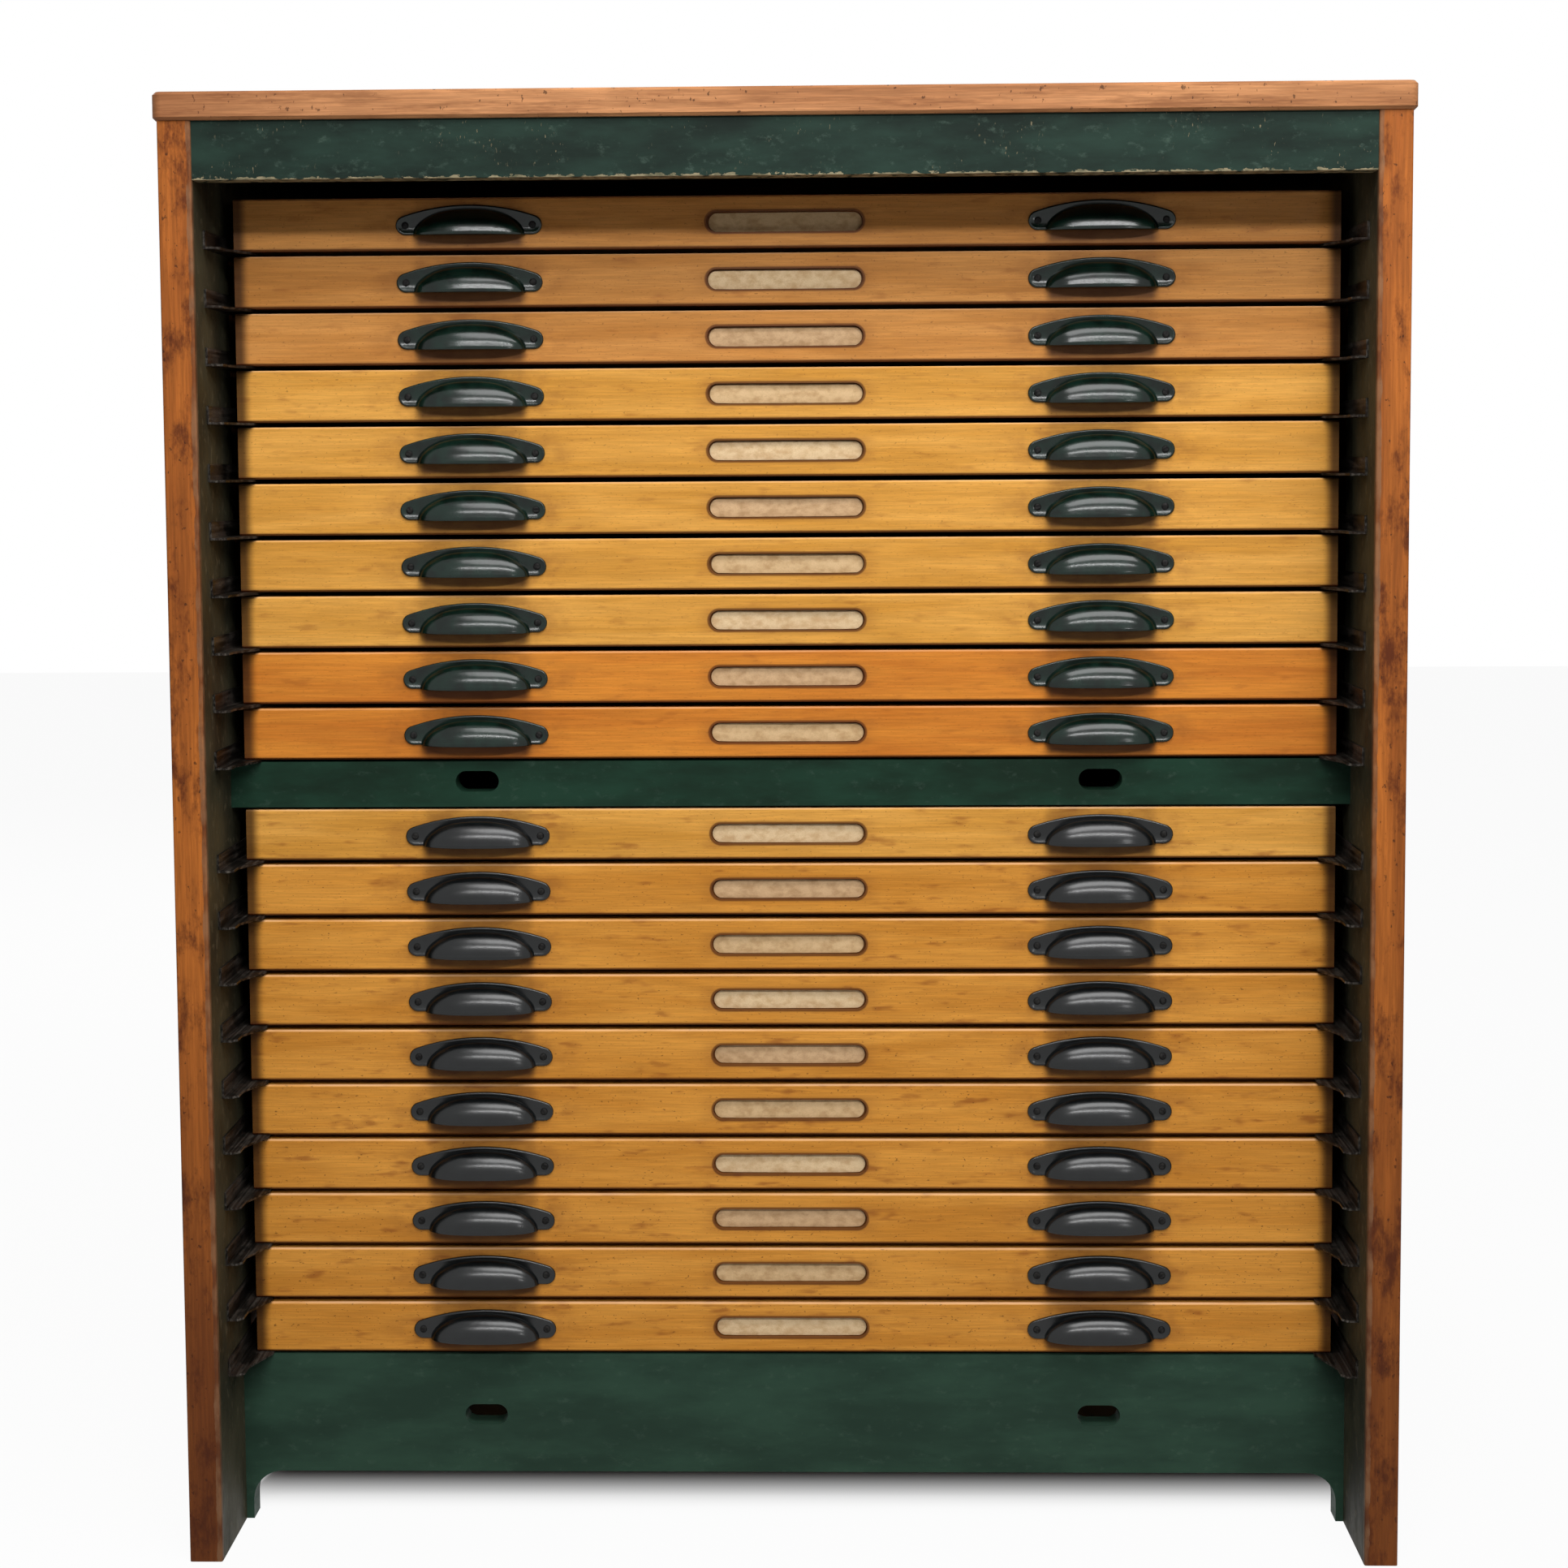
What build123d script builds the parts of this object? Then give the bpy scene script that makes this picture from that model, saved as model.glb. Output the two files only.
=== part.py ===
from build123d import *
import os

# Type case cabinet: a floor-standing wooden cabinet with twenty shallow type cases that slide
# out on steel angle runners, ten above and ten below a fixed rail.
# Millimetres. +Z is up, the front faces -Y, and the origin is on the floor at the middle of
# the footprint.

# ---- Type cases (the drawers) ----
case_width = 980.0
case_depth = 660.0
case_height = 46.0
cases_below = 10
cases_above = 10
case_front_t = 19.0
case_side_t = 12.0
case_back_t = 12.0
case_bottom_t = 5.0
front_edge_ease = 1.5
divider_t = 5.0
divider_height = 34.0
cells_per_row = (3, 4, 3)

# ---- Label window, a shallow pocket in each case front ----
label_length = 139.0
label_height = 18.0
label_depth = 5.0

# ---- Cup pulls ----
pull_spacing = 560.0
pull_rise = 3.5
pull_width = 130.0
pull_height = 26.5
pull_ear_radius = 8.5
pull_flange_t = 2.0
cup_width = 100.0
cup_height = 23.0
cup_reach = 17.0
cup_brow_radius = 15.0
cup_shoulder = 12.0
cup_end_slope = 9.0
cup_wall = 2.0

# ---- Steel angle runners ----
runner_t = 2.0
runner_leg = 28.0
runner_upright = 16.0
slide_gap = 0.3
head_gap = 2.2
horn_reach = 56.0
horn_width = 14.0
horn_taper = 34.0
horn_corner = 5.0
horn_setback = 2.0
runner_end_gap = 2.0

# ---- Carcass ----
side_gap = 13.0
recess = 90.0
post_width = 29.0
front_post_depth = 120.0
rear_post_depth = 70.0
post_edge_radius = 2.0
top_board_t = 24.0
top_overhang = 4.0
top_corner_radius = 9.0
top_edge_ease = 2.5
top_rail_height = 50.0
top_rail_setback = 2.0
top_gap = 7.2
front_rail_t = 22.0
mid_rail_height = 41.0
base_panel_height = 110.0
toe_height = 45.0
toe_margin = 7.0
toe_corner_radius = 27.0
slot_spacing = 560.0
slot_length = 39.0
slot_height = 19.0
mid_slot_rise = 2.5
base_slot_rise = -1.5
stop_gap = 0.3
stop_t = 10.0
stop_width = 25.0
back_frame_t = 22.0
back_rail_height = 80.0
muntin_width = 60.0
side_rail_height = 80.0
panel_t = 8.0
panel_groove = 8.0
panel_play = 0.15

# ---- Heights, worked out from the floor up ----
case_pitch = case_height + slide_gap + runner_t + head_gap
base_top = toe_height + base_panel_height
first_case_z = base_top + runner_t + slide_gap
lower_block_top = first_case_z + (cases_below - 1) * case_pitch + case_height
mid_rail_z = lower_block_top + head_gap
mid_rail_top = mid_rail_z + mid_rail_height
upper_case_z = mid_rail_top + runner_t + slide_gap
upper_block_top = upper_case_z + (cases_above - 1) * case_pitch + case_height
top_rail_z = upper_block_top + top_gap
carcass_top = top_rail_z + top_rail_height

# ---- Widths and depths ----
inner_half = case_width / 2 + side_gap
outer_half = inner_half + post_width
cabinet_depth = recess + case_depth + stop_gap + stop_t + back_frame_t
front_y = -cabinet_depth / 2
back_y = cabinet_depth / 2
case_front_y = front_y + recess
case_back_y = case_front_y + case_depth
stop_y = case_back_y + stop_gap
back_frame_y = back_y - back_frame_t
front_post_back = front_y + front_post_depth
rear_post_front = back_y - rear_post_depth
side_groove_x = inner_half + (post_width - panel_t) / 2
back_groove_y = back_frame_y + (back_frame_t - panel_t) / 2


def block(x0, x1, y0, y1, z0, z1):
    """A box between two opposite corners."""
    solid = Box(x1 - x0, y1 - y0, z1 - z0, align=(Align.MIN, Align.MIN, Align.MIN))
    return Pos(x0, y0, z0) * solid


def on_side(side, near, far, y0, y1, z0, z1):
    """A box whose X span is given as distances from the middle, on one side of it."""
    x0, x1 = sorted((side * near, side * far))
    return block(x0, x1, y0, y1, z0, z1)


def front_plane(y, x=0.0, z=0.0):
    """A drawing plane that faces the front, with its own Y axis pointing up."""
    return Plane(origin=(x, y, z), x_dir=(1, 0, 0), z_dir=(0, -1, 0))


def write_node(name, *shapes):
    """Write one node as a STEP file, with each piece as its own solid."""
    solids = [solid for shape in shapes for solid in shape.solids()]
    export_step(Compound(children=solids), f"parts/{name}.step")


# ---- Type case ----

def case_front():
    """The front board: its long front edges are eased, and the label pocket is milled in."""
    y0 = case_front_y
    board = block(-case_width / 2, case_width / 2, y0, y0 + case_front_t, 0, case_height)
    long_edges = board.edges().filter_by(Axis.X).group_by(Axis.Y)[0]
    board = chamfer(long_edges, front_edge_ease)
    window = front_plane(y0, z=case_height / 2) * SlotOverall(label_length, label_height)
    return board - extrude(window, -label_depth)


def case_dividers():
    """Bars across the case, and short dividers between them that make the type cells."""
    x0 = -case_width / 2 + case_side_t
    inner_w = case_width - 2 * case_side_t
    y0 = case_front_y + case_front_t
    inner_d = case_depth - case_front_t - case_back_t
    rows = len(cells_per_row)
    row_d = (inner_d - (rows - 1) * divider_t) / rows
    z0 = case_bottom_t
    z1 = z0 + divider_height
    dividers = []
    for row, cells in enumerate(cells_per_row):
        near = y0 + row * (row_d + divider_t)
        far = near + row_d
        if row < rows - 1:
            dividers.append(block(x0, x0 + inner_w, far, far + divider_t, z0, z1))
        cell_w = (inner_w - (cells - 1) * divider_t) / cells
        for cell in range(1, cells):
            x = x0 + cell * (cell_w + divider_t) - divider_t
            dividers.append(block(x, x + divider_t, near, far, z0, z1))
    return dividers


def type_case():
    """One type case with its lower face at height zero, as separate boards."""
    half = case_width / 2
    inner = half - case_side_t
    y1 = case_front_y + case_front_t
    y2 = case_back_y - case_back_t
    sides = [on_side(side, inner, half, y1, case_back_y, 0, case_height) for side in (-1, 1)]
    back = block(-inner, inner, y2, case_back_y, 0, case_height)
    bottom = block(-inner, inner, y1, y2, 0, case_bottom_t)
    return [case_front(), *sides, back, bottom, *case_dividers()]


# ---- Cup pull ----

def crown_radius():
    """Radius of the long arc over the pull, which touches the round ear at each end."""
    ear_x = pull_width / 2 - pull_ear_radius
    rise = pull_height - pull_ear_radius
    return (ear_x**2 + rise**2 - pull_ear_radius**2) / (2 * (rise - pull_ear_radius))


def pull_outline():
    """The flange: a straight foot, a round ear at each end and one long arc over them."""
    radius = crown_radius()
    ear_x = pull_width / 2 - pull_ear_radius
    centre_y = pull_height - radius
    reach = radius / (radius - pull_ear_radius)
    touch_x = ear_x * reach
    touch_y = centre_y + (pull_ear_radius - centre_y) * reach
    ear_end = pull_width / 2
    crown = ThreePointArc((-touch_x, touch_y), (0, pull_height), (touch_x, touch_y))
    right_ear = ThreePointArc((touch_x, touch_y), (ear_end, pull_ear_radius), (ear_x, 0))
    foot = Line((ear_x, 0), (-ear_x, 0))
    left_ear = ThreePointArc((-ear_x, 0), (-ear_end, pull_ear_radius), (-touch_x, touch_y))
    return make_face([crown, right_ear, foot, left_ear])


def cup_plan():
    """The cup seen from the front: it keeps the crown's curve, with sloping shoulders."""
    half = cup_width / 2
    arc_end = half - cup_shoulder
    radius = crown_radius() - (pull_height - cup_height)
    arc_foot = cup_height - radius + (radius**2 - arc_end**2) ** 0.5
    low = arc_foot - cup_shoulder
    outline = [
        ThreePointArc((-arc_end, arc_foot), (0, cup_height), (arc_end, arc_foot)),
        Polyline((arc_end, arc_foot), (half, low), (half, 0), (-half, 0), (-half, low),
                 (-arc_end, arc_foot)),
    ]
    return make_face(outline)


def cup_section():
    """The cup cut across: upright above the lip, then round to the top of the flange."""
    brow_y = cup_height - cup_brow_radius
    brow_z = cup_reach - cup_brow_radius
    outline = [
        Polyline((cup_height, brow_z), (cup_height, 0), (0, 0), (0, cup_reach),
                 (brow_y, cup_reach)),
        RadiusArc((brow_y, cup_reach), (cup_height, brow_z), cup_brow_radius),
    ]
    return make_face(outline)


def finger_hollow():
    """The space behind the cup, open below, a wall's thickness inside it."""
    half = cup_width / 2 - cup_end_slope - cup_wall
    top = cup_height - cup_wall
    out = cup_reach - cup_wall
    section = make_face(Polyline((0, 0), (0, out), (0.45 * top, 0.9 * out),
                                 (0.78 * top, 0.6 * out), (0.92 * top, 0), close=True))
    return extrude(side_plane(-half) * section, 2 * half)


def side_plane(x):
    """A drawing plane across the pull: its X is the pull's height, and its Y points out."""
    return Plane(origin=(x, 0, 0), x_dir=(0, 1, 0), z_dir=(1, 0, 0))


def cup_pull():
    """A cast cup pull lying in the XY plane, standing out along +Z and open below."""
    cup = extrude(cup_plan(), cup_reach)
    ends = cup.edges().filter_by(Axis.Y).group_by(Axis.Z)[-1]
    cup = chamfer(ends, cup_end_slope)
    cup &= extrude(side_plane(-cup_width / 2) * cup_section(), cup_width)
    return cup + extrude(pull_outline(), pull_flange_t) - finger_hollow()


def pulls_for(pull, z):
    """The two pulls of the case whose lower face is at height z."""
    centre_z = z + case_height / 2 + pull_rise - pull_height / 2
    places = [front_plane(case_front_y, x, centre_z) for x in (-pull_spacing / 2, pull_spacing / 2)]
    return [pull.moved(place.location) for place in places]


# ---- Runners ----

def runner(side, z):
    """One steel angle, with its flat leg's top at height z.

    The flat leg passes under the case, and in front of it tapers to a horn along the post.
    """
    y0 = case_front_y - horn_reach
    y2 = case_front_y - horn_setback
    y1 = y2 - horn_taper
    y3 = stop_y - runner_end_gap
    edge = Polyline((0, y3), (0, y0), (horn_width - horn_corner, y0),
                    (horn_width, y0 + horn_corner), (horn_width, y1), (runner_leg, y2),
                    (runner_leg, y3), close=True)
    flat = extrude(make_face(edge), runner_t)
    upright = block(0, runner_t, y0, y3, runner_t, runner_upright)
    angle = flat + upright
    if side > 0:
        angle = mirror(angle, Plane.YZ)
    return angle.moved(Pos(side * inner_half, 0, z - runner_t))


# ---- Carcass ----

def slotted(board, y, z, rise):
    """Cut the pair of oblong hand slots through a rail or panel, around height z."""
    for x in (-slot_spacing / 2, slot_spacing / 2):
        slot = front_plane(y, x, z + rise) * SlotOverall(slot_length, slot_height)
        board -= extrude(slot, -front_rail_t)
    return board


def front_post(side):
    """A front stile, rounded along its front edges and grooved for the side panels."""
    post = on_side(side, inner_half, outer_half, front_y, front_post_back, 0, carcass_top)
    post = fillet(post.edges().filter_by(Axis.Z).group_by(Axis.Y)[0], post_edge_radius)
    y0 = front_post_back - panel_groove
    return post - on_side(side, side_groove_x, side_groove_x + panel_t, y0, front_post_back,
                          0, carcass_top)


def rear_post(side):
    """A rear stile, grooved in front for the side panels and inside for the back panels."""
    post = on_side(side, inner_half, outer_half, rear_post_front, back_y, 0, carcass_top)
    y1 = rear_post_front + panel_groove
    post -= on_side(side, side_groove_x, side_groove_x + panel_t, rear_post_front, y1,
                    0, carcass_top)
    return post - on_side(side, inner_half, inner_half + panel_groove, back_groove_y,
                          back_groove_y + panel_t, 0, carcass_top)


def side_rail_spans():
    """Lower and upper heights of the three rails of a side, from the floor up."""
    mid_z = (mid_rail_z + mid_rail_top - side_rail_height) / 2
    return [
        (toe_height, toe_height + side_rail_height),
        (mid_z, mid_z + side_rail_height),
        (carcass_top - side_rail_height, carcass_top),
    ]


def side_rails(side):
    """The rails between the two posts of a side, grooved where they meet a panel."""
    spans = side_rail_spans()
    rails = []
    for number, (z0, z1) in enumerate(spans):
        rail = on_side(side, inner_half, outer_half, front_post_back, rear_post_front, z0, z1)
        if number > 0:
            rail -= on_side(side, side_groove_x, side_groove_x + panel_t,
                            front_post_back, rear_post_front, z0, z0 + panel_groove)
        if number < len(spans) - 1:
            rail -= on_side(side, side_groove_x, side_groove_x + panel_t,
                            front_post_back, rear_post_front, z1 - panel_groove, z1)
        rails.append(rail)
    return rails


def side_panels(side):
    """Thin panels that stand in the grooves of the posts and rails of a side."""
    spans = side_rail_spans()
    x0 = side_groove_x + panel_play
    x1 = side_groove_x + panel_t - panel_play
    y0 = front_post_back - panel_groove + panel_play
    y1 = rear_post_front + panel_groove - panel_play
    panels = []
    for (_, below), (above, _) in zip(spans, spans[1:]):
        z0 = below - panel_groove
        z1 = above + panel_groove - panel_play
        panels.append(on_side(side, x0, x1, y0, y1, z0, z1))
    return panels


def back_frame():
    """The back's two rails and its middle muntin, grooved for the back panels."""
    groove_y1 = back_groove_y + panel_t
    low, high = toe_height, toe_height + back_rail_height
    bottom = block(-inner_half, inner_half, back_frame_y, back_y, low, high)
    bottom -= block(-inner_half, inner_half, back_groove_y, groove_y1, high - panel_groove, high)
    top_low = carcass_top - back_rail_height
    top = block(-inner_half, inner_half, back_frame_y, back_y, top_low, carcass_top)
    top -= block(-inner_half, inner_half, back_groove_y, groove_y1, top_low, top_low + panel_groove)
    half = muntin_width / 2
    muntin = block(-half, half, back_frame_y, back_y, high, top_low)
    for side in (-1, 1):
        muntin -= on_side(side, half - panel_groove, half, back_groove_y, groove_y1, high, top_low)
    return bottom, top, muntin


def back_panels():
    """Two thin panels in the grooves of the back frame and the rear posts."""
    x0 = muntin_width / 2 - panel_groove + panel_play
    x1 = inner_half + panel_groove - panel_play
    y0 = back_groove_y + panel_play
    y1 = back_groove_y + panel_t - panel_play
    z0 = toe_height + back_rail_height - panel_groove
    z1 = carcass_top - back_rail_height + panel_groove - panel_play
    return [on_side(side, x0, x1, y0, y1, z0, z1) for side in (-1, 1)]


def top_board():
    """The top: a board with rounded corners and eased edges that overhangs all round."""
    x1 = outer_half + top_overhang
    y1 = back_y + top_overhang
    board = block(-x1, x1, -y1, y1, carcass_top, carcass_top + top_board_t)
    board = fillet(board.edges().filter_by(Axis.Z), top_corner_radius)
    rims = board.faces().sort_by(Axis.Z)
    edges = rims[0].edges() + rims[-1].edges()
    return chamfer(edges, top_edge_ease)


def top_front_rail():
    """The deep rail under the top board, just behind the front of the posts."""
    y0 = front_y + top_rail_setback
    return block(-inner_half, inner_half, y0, y0 + front_rail_t, top_rail_z, carcass_top)


def middle_rail():
    """The slotted rail between the upper and the lower cases, in their own front plane."""
    y0 = case_front_y
    board = block(-inner_half, inner_half, y0, y0 + front_rail_t, mid_rail_z, mid_rail_top)
    return slotted(board, y0, (mid_rail_z + mid_rail_top) / 2, mid_slot_rise)


def base_front_panel():
    """The panel under the lowest case: slotted, and cut away below with round corners."""
    y0 = case_front_y
    board = block(-inner_half, inner_half, y0, y0 + front_rail_t, 0, base_top)
    half = inner_half - toe_margin
    toe = block(-half, half, y0, y0 + front_rail_t, -toe_corner_radius, toe_height)
    upper_corners = toe.edges().filter_by(Axis.Y).group_by(Axis.Z)[-1]
    board -= fillet(upper_corners, toe_corner_radius)
    return slotted(board, y0, (toe_height + base_top) / 2, base_slot_rise)


def rear_stops():
    """Upright battens behind the cases, against which every closed case comes to rest."""
    near = inner_half - stop_width
    return [on_side(side, near, inner_half, stop_y, back_frame_y, base_top, top_rail_z)
            for side in (-1, 1)]


def case_heights():
    """Height of each case's lower face, from the highest case down."""
    upper = [upper_case_z + level * case_pitch for level in range(cases_above)]
    lower = [first_case_z + level * case_pitch for level in range(cases_below)]
    return sorted(upper + lower, reverse=True)


def main():
    os.makedirs("parts", exist_ok=True)
    case = type_case()
    pull = cup_pull()
    heights = case_heights()
    for number, z in enumerate(heights, start=1):
        write_node(f"drawer_{number:02d}", *[board.moved(Pos(0, 0, z)) for board in case])
        write_node(f"drawer_{number:02d}_pulls", *pulls_for(pull, z))
    for name, side in (("left", -1), ("right", 1)):
        write_node(f"{name}_runners", *[runner(side, z - slide_gap) for z in heights])
        write_node(f"{name}_front_post", front_post(side))
        write_node(f"{name}_rear_post", rear_post(side))
        write_node(f"{name}_side_rails", *side_rails(side))
        write_node(f"{name}_side_panels", *side_panels(side))
    write_node("top_board", top_board())
    write_node("top_front_rail", top_front_rail())
    write_node("middle_rail", middle_rail())
    write_node("base_front_panel", base_front_panel())
    bottom_rail, top_rail, muntin = back_frame()
    write_node("rear_bottom_rail", bottom_rail)
    write_node("rear_top_rail", top_rail)
    write_node("rear_muntin", muntin)
    write_node("back_panels", *back_panels())
    write_node("rear_stops", *rear_stops())


main()
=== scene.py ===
"""Looks of the type case cabinet: a wooden cabinet with twenty shallow type cases.

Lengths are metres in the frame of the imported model. Sizes in millimetres are divided by MM.
"""
import math

import bmesh
import bpy
import numpy as np
from mathutils import Matrix, Vector


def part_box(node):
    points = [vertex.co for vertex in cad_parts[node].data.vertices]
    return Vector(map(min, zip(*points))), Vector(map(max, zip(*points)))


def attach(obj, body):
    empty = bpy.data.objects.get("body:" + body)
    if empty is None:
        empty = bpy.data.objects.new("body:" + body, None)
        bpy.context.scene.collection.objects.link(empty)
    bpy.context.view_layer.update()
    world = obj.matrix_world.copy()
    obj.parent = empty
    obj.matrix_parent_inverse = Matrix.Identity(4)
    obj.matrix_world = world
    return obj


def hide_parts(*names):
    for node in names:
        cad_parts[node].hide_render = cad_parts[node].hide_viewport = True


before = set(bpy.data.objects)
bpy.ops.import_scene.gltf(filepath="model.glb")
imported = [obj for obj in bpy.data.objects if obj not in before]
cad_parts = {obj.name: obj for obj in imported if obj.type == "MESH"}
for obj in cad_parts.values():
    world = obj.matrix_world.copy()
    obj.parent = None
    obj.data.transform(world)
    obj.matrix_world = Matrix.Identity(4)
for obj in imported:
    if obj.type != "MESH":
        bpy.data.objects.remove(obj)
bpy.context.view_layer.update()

MM = 1000.0
ROWS = 20
ROW_NAMES = [f"{row:02d}" for row in range(1, ROWS + 1)]


# ---- Mesh code ----

def grid_quads(rows, columns, ring=False):
    """Quads between neighbours of a grid of points that is stored row by row."""
    row = np.arange(rows - 1)[:, None]
    column = np.arange(columns if ring else columns - 1)[None, :]
    following = (column + 1) % columns
    corners = [row * columns + column, row * columns + following,
               (row + 1) * columns + following, (row + 1) * columns + column]
    return np.stack(corners, axis=-1).reshape(-1, 4)


def joined(parts):
    """Several (points, quads) shapes as one."""
    points, quads, start = [], [], 0
    for part_points, part_quads in parts:
        points.append(part_points.reshape(-1, 3))
        quads.append(part_quads + start)
        start += len(points[-1])
    return np.concatenate(points), np.concatenate(quads)


def boxes(spans):
    """Boxes from rows of x0, x1, y0, y1, z0, z1: each corner takes one end of every span."""
    spans = np.asarray(spans, float)
    ends = np.array([[0, 2, 4], [1, 2, 4], [1, 3, 4], [0, 3, 4],
                     [0, 2, 5], [1, 2, 5], [1, 3, 5], [0, 3, 5]])
    sides = np.array([[0, 3, 2, 1], [4, 5, 6, 7], [0, 1, 5, 4],
                      [1, 2, 6, 5], [2, 3, 7, 6], [3, 0, 4, 7]])
    points = spans[:, ends].reshape(-1, 3)
    quads = (sides[None] + 8 * np.arange(len(spans))[:, None, None]).reshape(-1, 4)
    return points, quads


def piece(name, body, shapes, materials, smooth=True, closed=True):
    """One object riding on a body. Each shape takes the material of the same number.

    Doubles are merged first, which closes seams and poles, and then a closed shell's faces
    are turned outwards.
    """
    points, quads = joined(shapes)
    mesh = bpy.data.meshes.new(name)
    mesh.from_pydata(points.tolist(), [], quads.tolist())
    index = np.repeat(np.arange(len(shapes)), [len(quads_) for _, quads_ in shapes])
    mesh.polygons.foreach_set("material_index", index.astype(np.int32))
    for material in materials:
        mesh.materials.append(material)
    shell = bmesh.new()
    shell.from_mesh(mesh)
    bmesh.ops.remove_doubles(shell, verts=shell.verts, dist=0.02 / MM)
    if closed:
        bmesh.ops.recalc_face_normals(shell, faces=shell.faces)
    shell.to_mesh(mesh)
    shell.free()
    mesh.polygons.foreach_set("use_smooth", np.full(len(mesh.polygons), smooth))
    made = bpy.data.objects.new(name, mesh)
    bpy.context.scene.collection.objects.link(made)
    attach(made, body)
    return made


def relief(outline, spine, profile):
    """A low relief on a closed outline: rings lie at the profile's distances in from the edge.

    outline and spine are matching points of the plan; a ring's point lies on the straight line
    from its outline point to its spine point. profile holds (distance in, height) in mm, and
    the last ring closes on the spine at the last height.
    """
    reach = np.linalg.norm(spine - outline, axis=1, keepdims=True)
    rings = []
    for inward, height in profile:
        share = np.minimum(inward / reach, 0.98)
        plan = outline + (spine - outline) * share
        rings.append(np.column_stack([plan, np.full(len(plan), height)]))
    rings.append(np.column_stack([spine, np.full(len(spine), profile[-1][1])]))
    rings = np.array(rings)
    back = rings[:1].copy()
    back[:, :, :2] = spine
    rings = np.concatenate([back, rings])
    return rings, grid_quads(len(rings), rings.shape[1], ring=True)


def stadium(length, height, count):
    """Points of a strip with half-round ends, and its spine between the ends' centres."""
    turn = np.linspace(0, 2 * math.pi, count, endpoint=False)
    flat = length / 2 - height / 2
    spine = np.column_stack([flat * np.clip(np.cos(turn) * 6, -1, 1), np.zeros(count)])
    across = np.column_stack([np.cos(turn), np.sin(turn)])
    across[np.abs(spine[:, 0]) < flat] *= [[0, 1]]
    lengths = np.maximum(np.linalg.norm(across, axis=1, keepdims=True), 1e-9)
    return spine + across / lengths * height / 2, spine


def on_front(shape, x, z, front_y):
    """A shape drawn in mm as right, up and out, set on a case front."""
    points, quads = shape
    flat = points.reshape(-1, 3) / MM
    return np.column_stack([x + flat[:, 0], front_y - flat[:, 2], z + flat[:, 1]]), quads


# ---- Material code ----

def colour(hex_value):
    """An sRGB hex colour as linear red, green, blue and alpha."""
    srgb = [int(hex_value[i:i + 2], 16) / 255 for i in (0, 2, 4)]
    return [c / 12.92 if c <= 0.04045 else ((c + 0.055) / 1.055) ** 2.4 for c in srgb] + [1.0]


MODES = {"Math": "operation", "MapRange": "interpolation_type"}
STEP = "MapRange.SMOOTHSTEP"


def node(tree, kind, *values, **settings):
    """Add one shader node with its settings and links, and return its first enabled output.

    Values fill the enabled inputs in their order, and a dictionary fills inputs by name. A
    socket is linked and anything else is set. A word after a point in kind is its operation.
    """
    kind, _, mode = kind.partition(".")
    made = tree.nodes.new("ShaderNode" + kind)
    if mode:
        settings[MODES[kind]] = mode
    for key, value in settings.items():
        setattr(made, key, value)
    enabled = [socket for socket in made.inputs if socket.enabled]
    named = values[0] if values and isinstance(values[0], dict) else {}
    pairs = [(made.inputs[key], value) for key, value in named.items()] or zip(enabled, values)
    for socket, value in pairs:
        if isinstance(value, bpy.types.NodeSocket):
            tree.links.new(value, socket)
        else:
            socket.default_value = value
    return next((socket for socket in made.outputs if socket.enabled), None)


def new_material(name):
    """An empty node material and its tree."""
    material = bpy.data.materials.new(name)
    material.use_nodes = True
    material.node_tree.nodes.clear()
    return material, material.node_tree


def noise(tree, coordinates, size_mm, detail=3.0, roughness=0.55, distortion=0.0, shift=0.0):
    """Noise whose features measure size_mm along x, y and z."""
    place = node(tree, "Mapping", {"Vector": coordinates, "Location": (shift, shift * 0.7, shift),
                                   "Scale": [MM / size for size in size_mm]})
    return node(tree, "TexNoise", {"Vector": place, "Scale": 1.0, "Detail": detail,
                                   "Roughness": roughness, "Distortion": distortion})


def finish_material(material, tree, base, roughness, bump=None, bump_mm=0.1, **shader):
    """Link colour, roughness and bump height to a Principled shader with constant settings."""
    inputs = {"Base Color": base, "Roughness": roughness, "Specular IOR Level": 0.14}
    inputs.update({key.replace("_", " "): value for key, value in shader.items()})
    if bump is not None:
        raised = node(tree, "Bump", {"Height": bump, "Strength": 1.0, "Distance": bump_mm / MM})
        inputs["Normal"] = raised
    shading = node(tree, "BsdfPrincipled", inputs)
    node(tree, "OutputMaterial", shading)
    return material


def object_axes(tree):
    """Object coordinates, and each axis by itself."""
    place = node(tree, "TexCoord").node.outputs["Object"]
    return (place, *node(tree, "SeparateXYZ", place).node.outputs)


def squares_added(tree, first, second):
    """The first value squared plus the second one squared."""
    return node(tree, "Math.ADD", node(tree, "Math.MULTIPLY", first, first),
                node(tree, "Math.MULTIPLY", second, second))


def two_tones(tree, pattern, low, high, below, above):
    """One colour below the pattern's low value and another above its high one."""
    return node(tree, "MixRGB", node(tree, STEP, pattern, low, high), colour(below), colour(above))


def marked(tree, under, marks, strength, mark_colour):
    """A colour with marks laid over it, each as strong as its height times the strength."""
    share = node(tree, "Math.MULTIPLY", marks, strength)
    return node(tree, "MixRGB", share, under, colour(mark_colour))


def veiled(tree, under, pattern, low, high, strength, veil_colour):
    """A colour with a veil over it: none at the pattern's low value, strength at its high one."""
    share = node(tree, STEP, pattern, low, high, 0.0, strength)
    return node(tree, "MixRGB", share, under, colour(veil_colour))


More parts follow.
